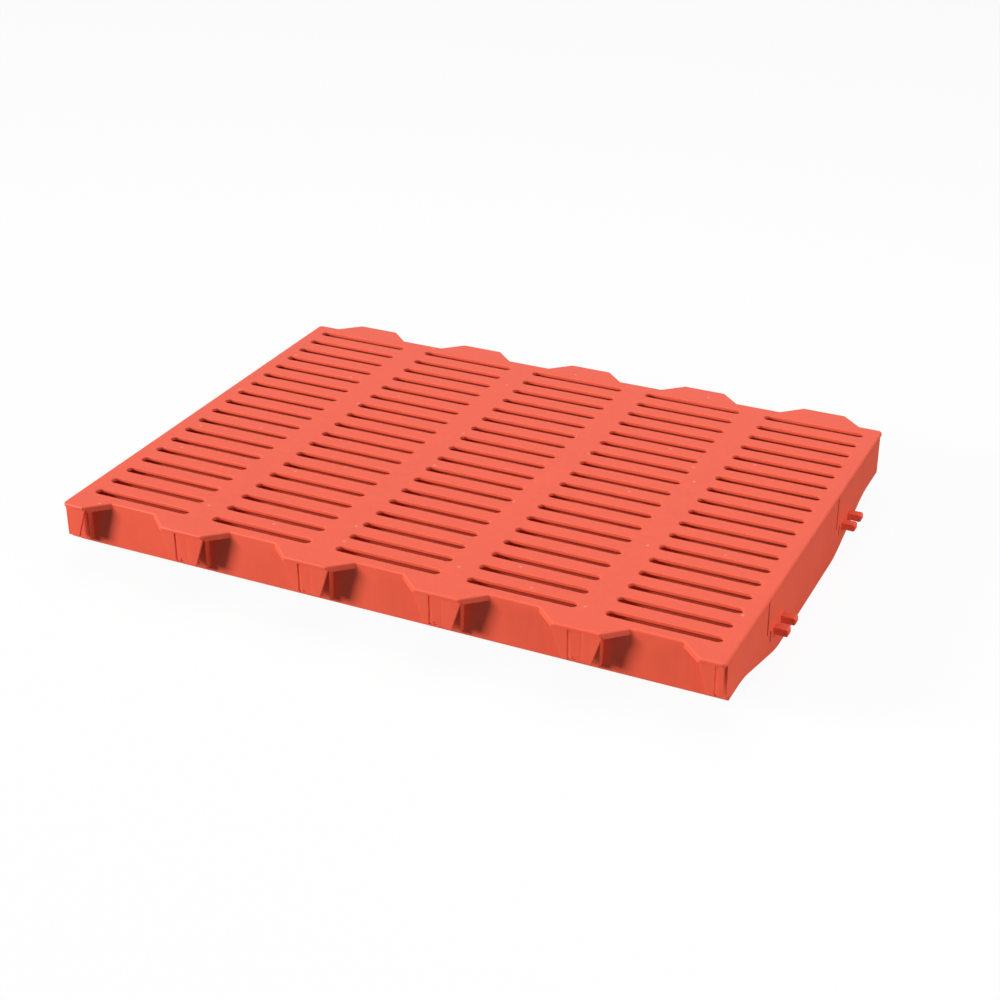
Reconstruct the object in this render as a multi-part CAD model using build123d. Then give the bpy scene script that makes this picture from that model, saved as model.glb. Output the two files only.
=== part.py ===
"""Plastic floor slat for a pig pen: one moulding with slotted deck, deep beams and toothed ends.

Millimetres. X runs along the slots, Y along the beams, Z up; the origin is the middle of the walking surface.
"""
from build123d import *
import math
import os

# The module: what one slat covers on the floor
COLUMN_PITCH = 110.0
COLUMNS = 5
MODULE_DEPTH = 404.0
ROWS = 18
JOINT_GAP = 1.0
SIDE_MARGIN = 1.0

# Deck and its slots
DECK = 3.2
SLOT_WIDTH = 8.0
SLOT_FLATS = 6
LAND_WIDTH = 22.0
END_MARGIN = 14.7
SLOT_SHIFT = -1.6
DECK_CORNER = 4.0

# Teeth that mesh with the next slat
TOOTH_DEPTH = 15.8
TOOTH_THICK = 5.5
FRONT_TIP = 36.0
FRONT_BASE = 70.0
TOOTH_PLAY = 1.5
TOOTH_CORNER = 2.0

# Walls and beams under the deck
WALL = 3.0
RIM_LIP = 1.6
WEB = 3.0
WEB_SETBACK = 0.5
END_DEPTH = 39.6
BELLY_DEPTH = 61.0
BELLY_CENTRE = -6.0
BELLY_FLAT = 152.0
BELLY_RUN = 80.0
BELLY_ROUND = 90.0

# Ribs under the bars between the slots
RIB_TOP = 7.0
RIB_FOOT = 4.0
RIB_DEPTH = 22.0

# Bearing pads at the beam ends, each with a small window in the wall below it
PAD_TOP = 30.4
PAD_FOOT = 28.8
PAD_THICK = 5.3
PAD_LIFT = 4.1
WINDOW_OFFSET = -6.5
WINDOW_WIDTH = 5.0
WINDOW_SILL = 1.4
WINDOW_GAP = 0.3

# Apron plates that hang from the tooth tips
APRON_THICK = 2.0
APRON_LIP = 0.9
APRON_TOP = 40.0
APRON_FOOT = 22.8
APRON_DEPTH = 28.7

# The spring slit, sunk strip and latch hole of a front apron
SLIT_WIDTH = 1.4
SLIT_OFFSET = 6.0
SLIT_START = 1.0
SLIT_END = 0.9
STRIP_SINK = 0.8
STRIP_EDGE = 4.6
LATCH_OFFSET = -0.5
LATCH_WIDTH = 4.8
LATCH_HEIGHT = 1.8
LATCH_SILL = 1.2

# Pegs on the right side and their sockets on the left
PEG_PAIRS = (-81.6, 96.4)
PEG_SPACING = 18.0
PEG_WIDTH = 7.0
PEG_LENGTH = 11.4
PEG_TOP = 35.2
PEG_ROOT = 5.8
PEG_NOSE = 6.2
PEG_ROUND = 1.6
SOCKET_PLAY = 0.6

# The slits that free the tongue around each peg pair
RELIEF_WIDTH = 1.6
RELIEF_TOP = 5.2
RELIEF_OFFSET = 26.2
RELIEF_STEP = 8.3
RELIEF_TAIL = 10.0

# How far a cut runs past the face that it opens
PAST = 1.0

# The most of a straight run that a bend beside it may take
BEND_SHARE = 0.9

# Worked out from the sizes above
WIDTH = COLUMNS * COLUMN_PITCH + 2 * SIDE_MARGIN
BODY_DEPTH = MODULE_DEPTH - TOOTH_DEPTH - JOINT_GAP
ROW_PITCH = (BODY_DEPTH - 2 * END_MARGIN) / (ROWS - 1)
SLOT_LENGTH = COLUMN_PITCH - LAND_WIDTH
BEAM_WIDTH = LAND_WIDTH - 2 * WEB_SETBACK
SIDE = WIDTH / 2 - RIM_LIP
END = BODY_DEPTH / 2
TIP = END + TOOTH_DEPTH
LANDS = [(i - COLUMNS / 2) * COLUMN_PITCH for i in range(COLUMNS + 1)]
COLUMN_CENTRES = [(i - (COLUMNS - 1) / 2) * COLUMN_PITCH for i in range(COLUMNS)]


def box(x0, x1, y0, y1, z0, z1):
    """A block between two corners."""
    centre = ((x0 + x1) / 2, (y0 + y1) / 2, (z0 + z1) / 2)
    return Pos(*centre) * Box(x1 - x0, y1 - y0, z1 - z0)


def upright(x, top_width, foot_width, foot):
    """A tapered outline that hangs from the deck at x, as an XZ face."""
    corners = [
        (x - top_width / 2, -DECK / 2),
        (x + top_width / 2, -DECK / 2),
        (x + foot_width / 2, -foot),
        (x - foot_width / 2, -foot),
    ]
    return Plane.XZ * make_face(Polyline(*corners, close=True))


def within_sides(solid):
    """What is left of a shape between the outer faces of the side walls."""
    return solid & box(-SIDE, SIDE, -TIP, TIP, -BELLY_DEPTH, 0)


def tooth(x, sign, tip, base):
    """A flat tooth on the end of the deck, at the front (-1) or the back (+1)."""
    root = sign * END
    point = sign * TIP
    inside = sign * (END - WALL)
    corners = [
        (x - base / 2, inside),
        (x - base / 2, root),
        (x - tip / 2, point),
        (x + tip / 2, point),
        (x + base / 2, root),
        (x + base / 2, inside),
    ]
    return make_face(Polyline(*corners, close=True))


def slot():
    """One slot, its round ends turned in short flats."""
    radius = SLOT_WIDTH / 2
    reach = SLOT_LENGTH / 2 - radius
    turns = [math.pi * (k / SLOT_FLATS - 0.5) for k in range(SLOT_FLATS + 1)]
    right = [(reach + radius * math.cos(t), radius * math.sin(t)) for t in turns]
    left = [(-x, -y) for x, y in right]
    return make_face(Polyline(*right, *left, close=True))


def outline():
    """The deck seen from above, without its slots."""
    recess_mouth = COLUMN_PITCH - FRONT_TIP
    recess_floor = COLUMN_PITCH - FRONT_BASE
    face = Rectangle(WIDTH, BODY_DEPTH)
    front = [tooth(x, -1, FRONT_TIP, FRONT_BASE) for x in LANDS]
    back = [
        tooth(x, 1, recess_floor - 2 * TOOTH_PLAY, recess_mouth - 2 * TOOTH_PLAY)
        for x in COLUMN_CENTRES
    ]
    face = face + front + back
    face = face & Rectangle(WIDTH, 2 * TIP)
    rim = [v for v in face.vertices() if abs(v.X) < WIDTH / 2 - PAST]
    face = fillet(rim, TOOTH_CORNER)
    corners = [v for v in face.vertices() if abs(v.X) > WIDTH / 2 - PAST]
    return fillet(corners, DECK_CORNER)


def deck():
    """The walking surface, slotted, with its teeth made thicker below."""
    face = outline()
    slots = GridLocations(COLUMN_PITCH, ROW_PITCH, COLUMNS, ROWS) * (Pos(0, SLOT_SHIFT, 0) * slot())
    plate = extrude(face - slots, -DECK)
    reach = TIP - APRON_LIP - APRON_THICK / 2
    ends = Rectangle(2 * SIDE, 2 * reach) - Rectangle(2 * SIDE, 2 * END - WALL)
    return plate + extrude(face & ends, -TOOTH_THICK)


def belly_radius(hip):
    """The radius of the belly's bends, kept within the shorter straight foot beside them."""
    turn = math.atan2(BELLY_DEPTH - END_DEPTH, BELLY_RUN)
    foot = END - abs(BELLY_CENTRE) - hip
    return min(BELLY_ROUND, BEND_SHARE * foot / math.tan(turn / 2))


def belly_plate(x0, x1):
    """A lengthwise wall with the fish-belly outline, from x0 to x1."""
    knee = BELLY_FLAT / 2
    hip = knee + BELLY_RUN
    top = -DECK / 2
    line = Polyline(
        (-END, top),
        (-END, -END_DEPTH),
        (BELLY_CENTRE - hip, -END_DEPTH),
        (BELLY_CENTRE - knee, -BELLY_DEPTH),
        (BELLY_CENTRE + knee, -BELLY_DEPTH),
        (BELLY_CENTRE + hip, -END_DEPTH),
        (END, -END_DEPTH),
        (END, top),
        close=True,
    )
    face = make_face(line)
    bends = [v for v in face.vertices() if abs(v.X) < END - PAST]
    face = fillet(bends, belly_radius(hip))
    return Pos(x0, 0, 0) * extrude(Plane.YZ * face, x1 - x0)


def beam_webs():
    """Two webs under each land, and the side walls."""
    half = BEAM_WIDTH / 2
    plates = [belly_plate(-SIDE, WALL - SIDE), belly_plate(SIDE - WALL, SIDE)]
    for x in LANDS[1:-1]:
        plates.append(belly_plate(x - half, x - half + WEB))
        plates.append(belly_plate(x + half - WEB, x + half))
    return plates


def end_walls():
    """The upright walls across the front and the back."""
    front = box(-SIDE, SIDE, -END, WALL - END, -END_DEPTH, -DECK / 2)
    back = box(-SIDE, SIDE, END - WALL, END, -END_DEPTH, -DECK / 2)
    return [front, back]


def ribs():
    """The tapered rib under each bar, from one beam to the next."""
    section = make_face(
        Polyline(
            (-RIB_TOP / 2, -DECK / 2),
            (RIB_TOP / 2, -DECK / 2),
            (RIB_FOOT / 2, -RIB_DEPTH),
            (-RIB_FOOT / 2, -RIB_DEPTH),
            close=True,
        )
    )
    pieces = []
    for i in range(COLUMNS):
        left = LANDS[i] + BEAM_WIDTH / 2 - WEB / 2
        right = LANDS[i + 1] - BEAM_WIDTH / 2 + WEB / 2
        if i == 0:
            left = -SIDE + WALL / 2
        if i == COLUMNS - 1:
            right = SIDE - WALL / 2
        bar = extrude(Plane.YZ * section, right - left)
        for j in range(ROWS - 1):
            y = SLOT_SHIFT + (j - (ROWS - 2) / 2) * ROW_PITCH
            pieces.append(Pos(left, y, 0) * bar)
    return pieces


def pads():
    """The tapered bearing pads in front of the beam ends."""
    foot = END_DEPTH - PAD_LIFT
    pieces = []
    for x in LANDS:
        plate = extrude(upright(x, PAD_TOP, PAD_FOOT, foot), PAD_THICK + WALL / 2)
        pieces.append(within_sides(Pos(0, WALL / 2 - END, 0) * plate))
    return pieces


def wall_windows():
    """The small windows in the front wall below the full pads."""
    low = WINDOW_SILL - END_DEPTH
    high = PAD_LIFT - WINDOW_GAP - END_DEPTH
    half = WINDOW_WIDTH / 2
    front = -END - PAST
    back = WALL + PAST - END
    middles = [x + WINDOW_OFFSET for x in LANDS[1:-1]]
    return [box(x - half, x + half, front, back, low, high) for x in middles]


def apron(x, sign):
    """The plate that hangs from a tooth tip."""
    plate = extrude(upright(x, APRON_TOP, APRON_FOOT, APRON_DEPTH), sign * APRON_THICK)
    return within_sides(Pos(0, sign * (TIP - APRON_LIP), 0) * plate)


def apron_cuts(x):
    """The spring slit of a front apron and the sunk strip beside it."""
    outer = APRON_LIP - TIP
    inner = outer + APRON_THICK
    front = outer - PAST
    middle = x - SLIT_OFFSET
    half = SLIT_WIDTH / 2
    top = -DECK - SLIT_START
    slit = box(middle - half, middle + half, front, inner + PAST, SLIT_END - APRON_DEPTH, top)
    strip = box(middle, x + STRIP_EDGE, front, outer + STRIP_SINK, -APRON_DEPTH - PAST, -DECK)
    return [slit, strip]


def latch_hole(x):
    """The small hole at the foot of a full front apron."""
    outer = APRON_LIP - TIP
    middle = x + LATCH_OFFSET
    half = LATCH_WIDTH / 2
    low = LATCH_SILL - APRON_DEPTH
    return box(middle - half, middle + half, outer - PAST, outer + APRON_THICK + PAST, low, low + LATCH_HEIGHT)


def peg():
    """One peg, its root at x = 0 on the side wall."""
    line = Polyline(
        (-WALL / 2, -PEG_TOP),
        (PEG_LENGTH, -PEG_TOP),
        (PEG_LENGTH, -PEG_TOP - PEG_NOSE),
        (-WALL / 2, -PEG_TOP - PEG_ROOT),
        close=True,
    )
    face = make_face(line)
    nose = [v for v in face.vertices() if v.X > PEG_LENGTH - PAST]
    face = fillet(nose, PEG_ROUND)
    return extrude(Plane.XZ * face, PEG_WIDTH / 2, both=True)


def peg_places():
    """The Y of each peg."""
    return [y + s * PEG_SPACING / 2 for y in PEG_PAIRS for s in (-1, 1)]


def sockets():
    """Windows in the left wall that take the next slat's pegs."""
    half = PEG_WIDTH / 2 + SOCKET_PLAY
    top = -PEG_TOP + SOCKET_PLAY
    foot = -PEG_TOP - max(PEG_ROOT, PEG_NOSE) - SOCKET_PLAY
    left = -SIDE - PAST
    right = WALL + PAST - SIDE
    return [box(left, right, y - half, y + half, foot, top) for y in peg_places()]


def reliefs():
    """The narrow slits in front of each peg pair."""
    half = RELIEF_WIDTH / 2
    left = SIDE - WALL - PAST
    right = SIDE + PAST
    cuts = []
    for y in PEG_PAIRS:
        slit = y - RELIEF_OFFSET
        tail = slit + RELIEF_STEP
        cuts.append(box(left, right, slit - half, slit + half, -PEG_TOP, -RELIEF_TOP))
        cuts.append(box(left, right, tail - half, tail + half, -PEG_TOP - RELIEF_TAIL, -PEG_TOP))
    return cuts


def floor_slat():
    """The whole moulding."""
    body = deck() + (beam_webs() + end_walls() + ribs() + pads())
    body = body + [apron(x, -1) for x in LANDS] + [apron(x, 1) for x in COLUMN_CENTRES]
    body = body + [Pos(SIDE, y, 0) * peg() for y in peg_places()]
    cuts = wall_windows() + sockets() + reliefs()
    for x in LANDS:
        cuts += apron_cuts(x)
    cuts += [latch_hole(x) for x in LANDS[1:-1]]
    return body - cuts


os.makedirs("parts", exist_ok=True)
part = floor_slat()
solid = part.solids()[0]
print("solids", len(part.solids()), "volume", round(solid.volume), "size", solid.bounding_box().size)
export_step(solid, "parts/floor_slat.step")
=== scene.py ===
import bmesh
import bpy
import math
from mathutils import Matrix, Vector


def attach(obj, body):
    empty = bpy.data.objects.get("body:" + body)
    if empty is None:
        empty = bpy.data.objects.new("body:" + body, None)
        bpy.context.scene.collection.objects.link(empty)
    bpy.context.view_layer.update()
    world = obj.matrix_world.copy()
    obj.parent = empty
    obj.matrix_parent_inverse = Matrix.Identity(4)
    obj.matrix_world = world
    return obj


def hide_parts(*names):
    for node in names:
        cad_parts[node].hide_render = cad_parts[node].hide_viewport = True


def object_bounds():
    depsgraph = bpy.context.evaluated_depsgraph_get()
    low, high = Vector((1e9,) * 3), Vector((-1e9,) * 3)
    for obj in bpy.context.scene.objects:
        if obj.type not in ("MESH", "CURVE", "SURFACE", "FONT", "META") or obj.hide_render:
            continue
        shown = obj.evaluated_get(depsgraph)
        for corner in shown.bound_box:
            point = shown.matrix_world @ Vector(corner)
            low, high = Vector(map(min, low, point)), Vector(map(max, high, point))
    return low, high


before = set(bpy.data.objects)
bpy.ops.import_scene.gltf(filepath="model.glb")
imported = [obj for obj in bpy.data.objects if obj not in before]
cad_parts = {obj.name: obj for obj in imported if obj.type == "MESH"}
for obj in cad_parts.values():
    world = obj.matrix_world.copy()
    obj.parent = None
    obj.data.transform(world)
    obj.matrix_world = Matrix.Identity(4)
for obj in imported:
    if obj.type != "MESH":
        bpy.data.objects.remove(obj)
cad_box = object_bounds()

MM = 0.001

# The camera's place and turn, found from the regular grid of slots
CAMERA_AT = Vector((592.6, -1232.3, 686.3)) * MM
CAMERA_YAW = math.radians(25.147)
CAMERA_PITCH = math.radians(27.84)
CAMERA_LENS = 66.88
CAMERA_SENSOR = 36.0
CAMERA_SHIFT = -0.0077
CAMERA_NEAR = 0.05
CAMERA_FAR = 50.0

# The deck and its slot grid
COLUMNS = 5
ROWS = 18
COLUMN_PITCH = 110.0 * MM
BODY_DEPTH = 387.2 * MM
END_MARGIN = 14.7 * MM
ROW_PITCH = (BODY_DEPTH - 2 * END_MARGIN) / (ROWS - 1)
SLOT_SHIFT = -1.6 * MM
SLOT_LENGTH = 88.0 * MM
SLOT_WIDTH = 8.0 * MM
SLOT_FLATS = 6
DECK = 3.2 * MM

# The bars' section: a thin upright edge, then a slope down to the rib
BAR_EDGE = 2.7 * MM
SLOPE_FOOT = 5.8 * MM
RIB_TOP = 7.0 * MM
RIB_LEAN = 0.0735
RIB_DEPTH = 22.0 * MM
RIB_BAND = 0.3 * MM

# The half ribs at both ends, measured from the edge of the outermost slots
END_RIB_SLOPE = 3.1 * MM
END_RIB_FOOT = 4.2 * MM
END_RIB_BACK = 6.0 * MM

# The side wall, and the slits in it beside the pegs, opened a little further than in the solid
RIM_LIP = 1.6 * MM
WALL = 3.0 * MM
INNER_SIDE = -cad_box[0].x - RIM_LIP - WALL
PEG_PAIRS = (-81.6 * MM, 96.4 * MM)
RELIEF_OFFSET = 26.2 * MM
RELIEF_STEP = 8.3 * MM
RELIEF_WIDTH = 1.6 * MM
RELIEF_OPEN = 1.2 * MM
RELIEFS = [pair - RELIEF_OFFSET + step for pair in PEG_PAIRS for step in (0.0, RELIEF_STEP)]
RELIEF_FRONTS = [middle - RELIEF_WIDTH / 2 for middle in RELIEFS]
RELIEF_BACKS = [middle + RELIEF_WIDTH / 2 for middle in RELIEFS]

# Heights of the cuts through the slits, the latch holes and the sockets in the walls
WALL_CUTS = (-18.0 * MM, -26.6 * MM, -37.0 * MM)

# How near points and faces have to be to count as one
WELD = 0.005 * MM
CUT_SNAP = 0.001 * MM
NEAR = 0.02 * MM
FLAT_WITHIN = math.radians(0.5)

# Edge rounding; the slot field is half the width and half the depth that hold all the slots
RIM_ROUND = 1.5 * MM
SLOT_ROUND = 0.5 * MM
EDGE_ROUND = 0.45 * MM
FINE_ROUND = 0.12 * MM
SLOT_FIELD = (268.0 * MM, 188.0 * MM)
ROUND_STEPS = 3
ROUND_FROM = math.radians(25.0)

# Colours, linear
PLASTIC = (0.8, 0.103, 0.052)
SPECK = (0.85, 0.26, 0.19, 1.0)
WHITE = (1.0, 1.0, 1.0, 1.0)
FLOOR_WHITE = (0.9, 0.9, 0.9, 1.0)
FLOOR_GREY = (0.2, 0.2, 0.2, 1.0)

# The plastic's mottling: a cloud, blended with streaks that run down the walls
CLOUD_SCALE = 28.0
CLOUD_DETAIL = 4.0
STREAK_SCALE = 160.0
STREAK_DETAIL = 2.0
STREAK_STRETCH = (1.0, 1.0, 0.12)
STREAK_SHARE = 0.4
TINT_ENDS = (0.3, 0.7)
TINT_DARK = (0.96, 0.93, 0.93)
TINT_PALE = (1.03, 1.06, 1.06)

# The small pale marks: cells in a metre, and a mark's edge and core in cells
SPECK_SCALE = 13.0
SPECK_EDGE = 0.02
SPECK_CORE = 0.008
LEVEL_FROM = 0.9

# The plastic's gloss and skin
PLASTIC_IOR = 1.49
PLASTIC_SPECULAR = 0.32
ROUGHNESS = (0.42, 0.52)
SKIN_SCALE = 900.0
SKIN_DETAIL = 2.0
SKIN_STRENGTH = 0.12
SKIN_HEIGHT = 0.2 * MM

# Lamps: place, target, size in metres and power in watts
LAMPS = {
    "key": ((-3.75, -2.9, 1.42), (0.0, 0.0, -0.02), 1.25, 325.0),
    "overhead": ((0.1, 0.3, 1.8), (0.0, 0.0, 0.0), 1.6, 21.5),
    "low_right": ((1.75, -0.4, 0.35), (0.25, 0.0, -0.03), 0.9, 19.5),
}

# Surroundings: their strength as a light and as seen, and the floor's reach and finish
WORLD_LIGHT = 0.06
WORLD_SEEN = 1.0
FLOOR_REACH = 6.0
FLOOR_ROUGHNESS = 0.9
FLOOR_GLOW = 0.93

# Socket places of a mix node: its factor, and both values and the result of each kind
MIX_FACTOR = 0
NUMBER_A, NUMBER_B, NUMBER_OUT = 2, 3, 0
COLOUR_A, COLOUR_B, COLOUR_OUT = 6, 7, 2


def node_input(shader, name, value):
    """Sets one socket of a shader node."""
    shader.inputs[name].default_value = value


def math_node(nodes, operation):
    """A new node that does one sum."""
    node = nodes.new("ShaderNodeMath")
    node.operation = operation
    return node


def colour_mix(nodes):
    """A new node that blends two colours."""
    node = nodes.new("ShaderNodeMix")
    node.data_type = "RGBA"
    return node


def noise(nodes, links, vector, scale, detail):
    """A new noise texture that follows a vector."""
    node = nodes.new("ShaderNodeTexNoise")
    node_input(node, "Scale", scale)
    node_input(node, "Detail", detail)
    links.new(vector, node.inputs["Vector"])
    return node.outputs["Fac"]


def tinted(share):
    """The plastic's colour, darkened or brightened channel by channel."""
    return tuple(c * s for c, s in zip(PLASTIC, share)) + (1.0,)


def mottling(nodes, links, cloud, position):
    """The plastic's colour with the cloud and faint streaks in it."""
    stretch = nodes.new("ShaderNodeMapping")
    node_input(stretch, "Scale", STREAK_STRETCH)
    links.new(position, stretch.inputs["Vector"])
    streak = noise(nodes, links, stretch.outputs["Vector"], STREAK_SCALE, STREAK_DETAIL)
    blend = nodes.new("ShaderNodeMix")
    node_input(blend, MIX_FACTOR, STREAK_SHARE)
    links.new(cloud, blend.inputs[NUMBER_A])
    links.new(streak, blend.inputs[NUMBER_B])
    tint = nodes.new("ShaderNodeValToRGB")
    dark, pale = tint.color_ramp.elements
    dark.position, pale.position = TINT_ENDS
    dark.color = tinted(TINT_DARK)
    pale.color = tinted(TINT_PALE)
    links.new(blend.outputs[NUMBER_OUT], tint.inputs["Fac"])
    return tint.outputs["Color"]


def specks(nodes, links, place):
    """A mask of small pale marks scattered over the walking surface."""
    cells = nodes.new("ShaderNodeTexVoronoi")
    cells.voronoi_dimensions = "2D"
    node_input(cells, "Scale", SPECK_SCALE)
    links.new(place.outputs["Position"], cells.inputs["Vector"])
    spot = nodes.new("ShaderNodeMapRange")
    node_input(spot, "From Min", SPECK_EDGE)
    node_input(spot, "From Max", SPECK_CORE)
    links.new(cells.outputs["Distance"], spot.inputs["Value"])
    tilt = nodes.new("ShaderNodeSeparateXYZ")
    links.new(place.outputs["True Normal"], tilt.inputs["Vector"])
    level = math_node(nodes, "GREATER_THAN")
    node_input(level, 1, LEVEL_FROM)
    links.new(tilt.outputs["Z"], level.inputs[0])
    mask = math_node(nodes, "MULTIPLY")
    links.new(spot.outputs["Result"], mask.inputs[0])
    links.new(level.outputs[0], mask.inputs[1])
    return mask.outputs[0]


def skin(nodes, links, position):
    """The fine grain of the plastic's surface."""
    grain = noise(nodes, links, position, SKIN_SCALE, SKIN_DETAIL)
    bump = nodes.new("ShaderNodeBump")
    node_input(bump, "Strength", SKIN_STRENGTH)
    node_input(bump, "Distance", SKIN_HEIGHT)
    links.new(grain, bump.inputs["Height"])
    return bump.outputs["Normal"]


def plastic():
    """Moulded orange-red plastic with faint mottling, pale specks and a fine skin."""
    material = bpy.data.materials.new("slat_plastic")
    material.use_nodes = True
    nodes = material.node_tree.nodes
    links = material.node_tree.links
    shader = nodes["Principled BSDF"]
    node_input(shader, "IOR", PLASTIC_IOR)
    node_input(shader, "Specular IOR Level", PLASTIC_SPECULAR)
    place = nodes.new("ShaderNodeNewGeometry")
    position = place.outputs["Position"]
    cloud = noise(nodes, links, position, CLOUD_SCALE, CLOUD_DETAIL)
    marked = colour_mix(nodes)
    links.new(specks(nodes, links, place), marked.inputs[MIX_FACTOR])
    links.new(mottling(nodes, links, cloud, position), marked.inputs[COLOUR_A])
    node_input(marked, COLOUR_B, SPECK)
    links.new(marked.outputs[COLOUR_OUT], shader.inputs["Base Color"])
    gloss = nodes.new("ShaderNodeMapRange")
    node_input(gloss, "To Min", ROUGHNESS[0])
    node_input(gloss, "To Max", ROUGHNESS[1])
    links.new(cloud, gloss.inputs["Value"])
    links.new(gloss.outputs["Result"], shader.inputs["Roughness"])
    links.new(skin(nodes, links, position), shader.inputs["Normal"])
    return material


def column_x(column):
    """The middle of a column of slots."""
    return (column - (COLUMNS - 1) / 2) * COLUMN_PITCH


def row_y(row):
    """The middle of a row of slots."""
    return SLOT_SHIFT + (row - (ROWS - 1) / 2) * ROW_PITCH


def cut_planes():
    """Planes through every slot row, between the columns and through the small openings of the walls."""
    planes = [(Vector((0, row_y(row), 0)), Vector((0, 1, 0))) for row in range(ROWS)]
    for column in range(1, COLUMNS):
        between = (column - COLUMNS / 2) * COLUMN_PITCH
        planes.append((Vector((between, 0, 0)), Vector((1, 0, 0))))
    for z in WALL_CUTS:
        planes.append((Vector((0, 0, z)), Vector((0, 0, 1))))
    return planes


def planar_copy(node):
    """A mesh of the node whose flat faces are whole again between the cut planes."""
    mesh = bmesh.new()
    mesh.from_mesh(node.data)
    bmesh.ops.remove_doubles(mesh, verts=mesh.verts, dist=WELD)
    for place, normal in cut_planes():
        parts = mesh.verts[:] + mesh.edges[:] + mesh.faces[:]
        made = bmesh.ops.bisect_plane(mesh, geom=parts, dist=CUT_SNAP, plane_co=place, plane_no=normal)
        for part in made["geom_cut"]:
            if isinstance(part, bmesh.types.BMEdge):
                part.seam = True
    bmesh.ops.dissolve_limit(
        mesh,
        angle_limit=FLAT_WITHIN,
        verts=mesh.verts,
        edges=mesh.edges,
        delimit={"SEAM"},
    )
    return mesh


def slot_hub(point):
    """The centre of the slot end nearest to a point, at the point's own height."""
    column = min(max(round(point.x / COLUMN_PITCH + (COLUMNS - 1) / 2), 0), COLUMNS - 1)
    row = min(max(round((point.y - SLOT_SHIFT) / ROW_PITCH + (ROWS - 1) / 2), 0), ROWS - 1)
    x = column_x(column)
    reach = (SLOT_LENGTH - SLOT_WIDTH) / 2
    return Vector((x + math.copysign(reach, point.x - x), row_y(row), point.z))


def on_slot_end(point):
    """True on the round end of a slot, at the deck's top or underside."""
    level = min(abs(point.z), abs(point.z + DECK)) < NEAR
    return level and abs((point - slot_hub(point)).length - SLOT_WIDTH / 2) < NEAR


def is_slot_flat(edge):
    """True for the short level edges that make up a slot's end."""
    ends = [vert.co for vert in edge.verts]
    longest = SLOT_WIDTH * math.sin(math.pi / SLOT_FLATS / 2) + NEAR
    short = edge.calc_length() < longest
    return short and abs(ends[0].z - ends[1].z) < NEAR and all(on_slot_end(end) for end in ends)


def round_slot_ends(mesh):
    """Splits each flat of the slot ends in two and sets the new points on the round."""
    added = set()
    for edge in [edge for edge in mesh.edges if is_slot_flat(edge)]:
        point = bmesh.utils.edge_split(edge, edge.verts[0], 0.5)[1]
        hub = slot_hub(point.co)
        point.co = hub + (point.co - hub).normalized() * SLOT_WIDTH / 2
        added.add(point)
    for face in mesh.faces[:]:
        pair = [vert for vert in face.verts if vert in added]
        if len(pair) == 2 and abs(pair[0].co.z - pair[1].co.z) > DECK / 2:
            bmesh.utils.face_split(face, pair[0], pair[1])


def slope_bars(mesh):
    """Thins the upright edge of each bar and slopes its underside down to the rib."""
    half_gap = (ROW_PITCH - RIB_TOP) / 2
    for vert in mesh.verts:
        if abs(vert.co.z + DECK) > NEAR:
            continue
        aside = vert.co.y - slot_hub(vert.co).y
        if on_slot_end(vert.co):
            vert.co.z = -BAR_EDGE
        elif 0.0 <= abs(aside) - half_gap < RIB_BAND:
            vert.co.z = -SLOPE_FOOT
            vert.co.y += math.copysign(RIB_LEAN * (SLOPE_FOOT - DECK), aside)


def add_prism(mesh, section, x_ends):
    """A closed bar along X from a list of (y, z) corners."""
    rings = [[mesh.verts.new((x, y, z)) for y, z in section] for x in x_ends]
    mesh.faces.new(rings[0])
    mesh.faces.new(rings[1][::-1])
    for i in range(len(section)):
        j = (i + 1) % len(section)
        mesh.faces.new((rings[0][j], rings[0][i], rings[1][i], rings[1][j]))


def end_ribs(mesh):
    """A half rib behind the first and last row of slots, sloped as the other ribs are."""
    outline = [
        (0.0, BAR_EDGE),
        (END_RIB_SLOPE, SLOPE_FOOT),
        (END_RIB_FOOT, RIB_DEPTH),
        (END_RIB_BACK, RIB_DEPTH),
        (END_RIB_BACK, BAR_EDGE),
    ]
    reach = SLOT_LENGTH / 2
    for row, way in ((0, -1.0), (ROWS - 1, 1.0)):
        edge = row_y(row) + way * SLOT_WIDTH / 2
        section = [(edge + way * out, -depth) for out, depth in outline]
        for column in range(COLUMNS):
            middle = column_x(column)
            add_prism(mesh, section, (middle - reach, middle + reach))
    bmesh.ops.recalc_face_normals(mesh, faces=mesh.faces)


def open_reliefs(mesh):
    """Widens the slits in front of the pegs towards the front."""
    for vert in mesh.verts:
        if vert.co.x > INNER_SIDE - NEAR and any(abs(vert.co.y - y) < NEAR for y in RELIEF_FRONTS):
            vert.co.y -= RELIEF_OPEN


def on_relief(edge):
    """True for the edges of the slits beside the pegs, once these are opened."""
    rims = RELIEF_BACKS + [y - RELIEF_OPEN for y in RELIEF_FRONTS]
    outside = all(vert.co.x > INNER_SIDE - NEAR for vert in edge.verts)
    return outside and any(abs(vert.co.y - y) < NEAR for vert in edge.verts for y in rims)


def rounding(edge):
    """The radius that suits an outer edge, by where it lies."""
    if any(abs(vert.co.z) > NEAR for vert in edge.verts):
        return FINE_ROUND if on_relief(edge) else EDGE_ROUND
    middle = (edge.verts[0].co + edge.verts[1].co) / 2
    beyond = abs(middle.x) > SLOT_FIELD[0] or abs(middle.y) > SLOT_FIELD[1]
    return RIM_ROUND if beyond else SLOT_ROUND


def mark_rounding(mesh):
    """Says how far each outer edge is rounded: the rim of the walking surface most."""
    mesh.normal_update()
    layer = mesh.edges.layers.float.new("bevel_weight_edge")
    for edge in mesh.edges:
        if len(edge.link_faces) != 2:
            continue
        turn = edge.calc_face_angle_signed()
        edge.smooth = turn > -ROUND_FROM
        if turn > ROUND_FROM:
            edge[layer] = rounding(edge) / RIM_ROUND


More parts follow.
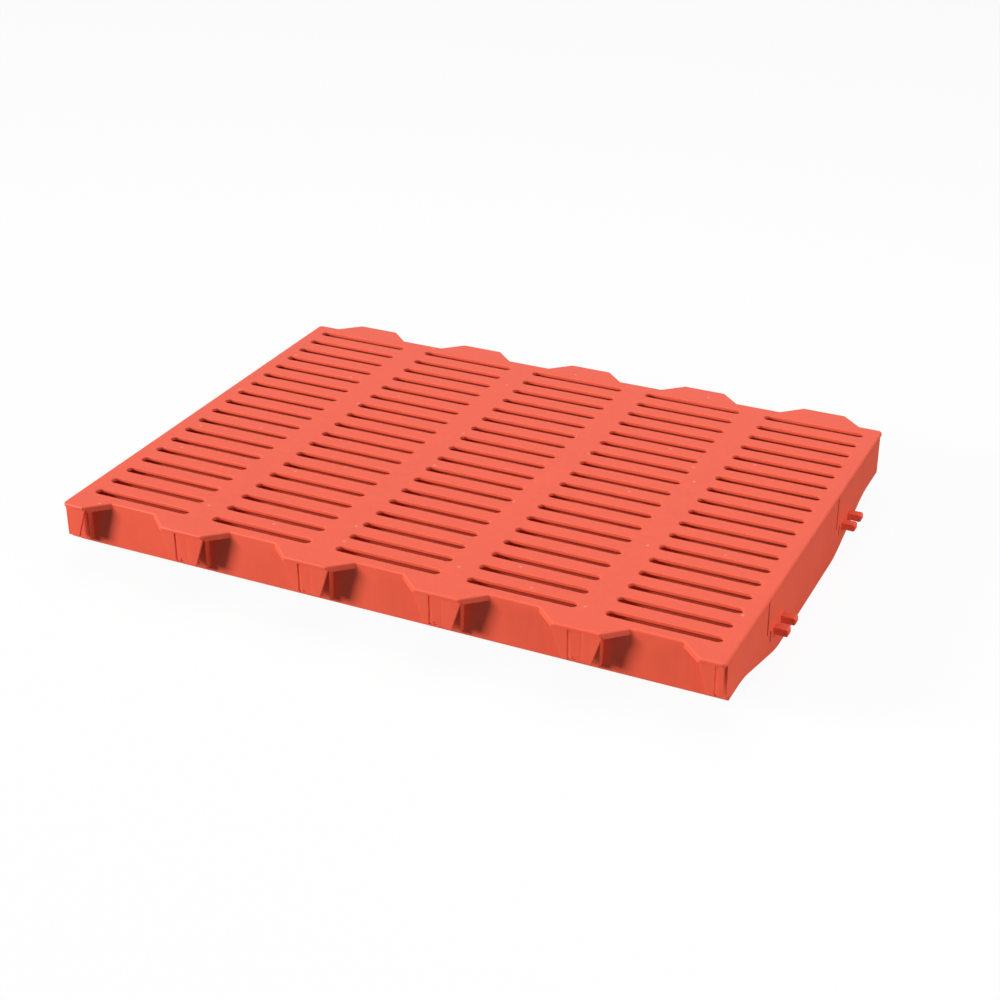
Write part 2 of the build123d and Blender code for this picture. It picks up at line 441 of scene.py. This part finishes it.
def round_edges(piece):
    """Rounds each marked edge by its own radius."""
    bevel = piece.modifiers.new("round", "BEVEL")
    bevel.width = RIM_ROUND
    bevel.segments = ROUND_STEPS
    bevel.limit_method = "WEIGHT"
    bevel.use_clamp_overlap = False
    bevel.harden_normals = True


def moulding(material):
    """The slat with rounded edges, in place of its node."""
    mesh = planar_copy(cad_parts["floor_slat"])
    round_slot_ends(mesh)
    slope_bars(mesh)
    end_ribs(mesh)
    open_reliefs(mesh)
    mark_rounding(mesh)
    data = bpy.data.meshes.new("slat_body")
    mesh.to_mesh(data)
    mesh.free()
    data.attributes.remove(data.attributes["custom_normal"])
    data.materials.append(material)
    data.shade_smooth()
    piece = bpy.data.objects.new("slat_body", data)
    bpy.context.scene.collection.objects.link(piece)
    round_edges(piece)
    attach(piece, "root")
    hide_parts("floor_slat")


def camera():
    """The photograph's viewpoint."""
    data = bpy.data.cameras.new("camera")
    data.lens = CAMERA_LENS
    data.sensor_width = CAMERA_SENSOR
    data.shift_x = CAMERA_SHIFT
    data.clip_start = CAMERA_NEAR
    data.clip_end = CAMERA_FAR
    eye = bpy.data.objects.new("camera", data)
    eye.location = CAMERA_AT
    eye.rotation_euler = (math.pi / 2 - CAMERA_PITCH, 0.0, CAMERA_YAW)
    bpy.context.scene.collection.objects.link(eye)
    bpy.context.scene.camera = eye


def softbox(name, place, target, size, power):
    """A square area light aimed at a point."""
    data = bpy.data.lights.new(name, "AREA")
    data.shape = "SQUARE"
    data.size = size
    data.energy = power
    lamp = bpy.data.objects.new(name, data)
    lamp.location = place
    aim = Vector(target) - Vector(place)
    lamp.rotation_euler = aim.to_track_quat("-Z", "Y").to_euler()
    bpy.context.scene.collection.objects.link(lamp)


def lights():
    """A low key from the front left, an overhead fill and a low fill from the right."""
    for name, (place, target, size, power) in LAMPS.items():
        softbox(name, place, target, size, power)


def surroundings():
    """White surroundings, white to the camera and in reflections, and dimmer as a light."""
    world = bpy.data.worlds.new("studio")
    world.use_nodes = True
    bpy.context.scene.world = world
    nodes = world.node_tree.nodes
    links = world.node_tree.links
    back = nodes["Background"]
    node_input(back, "Color", WHITE)
    path = nodes.new("ShaderNodeLightPath")
    seen = math_node(nodes, "MAXIMUM")
    links.new(path.outputs["Is Camera Ray"], seen.inputs[0])
    links.new(path.outputs["Is Glossy Ray"], seen.inputs[1])
    level = nodes.new("ShaderNodeMapRange")
    node_input(level, "To Min", WORLD_LIGHT)
    node_input(level, "To Max", WORLD_SEEN)
    links.new(seen.outputs[0], level.inputs["Value"])
    links.new(level.outputs["Result"], back.inputs["Strength"])


def floor_material():
    """Nearly white to the camera, with the shadow left in, and grey to the light that it sends back."""
    material = bpy.data.materials.new("floor_white")
    material.use_nodes = True
    nodes = material.node_tree.nodes
    links = material.node_tree.links
    shader = nodes["Principled BSDF"]
    node_input(shader, "Roughness", FLOOR_ROUGHNESS)
    node_input(shader, "Specular IOR Level", 0.0)
    glow = nodes.new("ShaderNodeEmission")
    path = nodes.new("ShaderNodeLightPath")
    tone = colour_mix(nodes)
    node_input(tone, COLOUR_A, FLOOR_GREY)
    node_input(tone, COLOUR_B, FLOOR_WHITE)
    links.new(path.outputs["Is Camera Ray"], tone.inputs[MIX_FACTOR])
    links.new(tone.outputs[COLOUR_OUT], shader.inputs["Base Color"])
    share = math_node(nodes, "MULTIPLY")
    node_input(share, 1, FLOOR_GLOW)
    links.new(path.outputs["Is Camera Ray"], share.inputs[0])
    mix = nodes.new("ShaderNodeMixShader")
    links.new(share.outputs[0], mix.inputs["Fac"])
    links.new(shader.outputs["BSDF"], mix.inputs[1])
    links.new(glow.outputs["Emission"], mix.inputs[2])
    links.new(mix.outputs["Shader"], nodes["Material Output"].inputs["Surface"])
    return material


def floor():
    """A pale floor that looks white and keeps a faint shadow."""
    lowest = cad_box[0].z
    turns = ((-1, -1), (1, -1), (1, 1), (-1, 1))
    corners = [(x * FLOOR_REACH, y * FLOOR_REACH, lowest) for x, y in turns]
    data = bpy.data.meshes.new("floor")
    data.from_pydata(corners, [], [(0, 1, 2, 3)])
    data.materials.append(floor_material())
    ground = bpy.data.objects.new("floor", data)
    bpy.context.scene.collection.objects.link(ground)


bpy.context.scene.view_settings.view_transform = "Standard"
camera()
surroundings()
floor()
lights()
moulding(plastic())
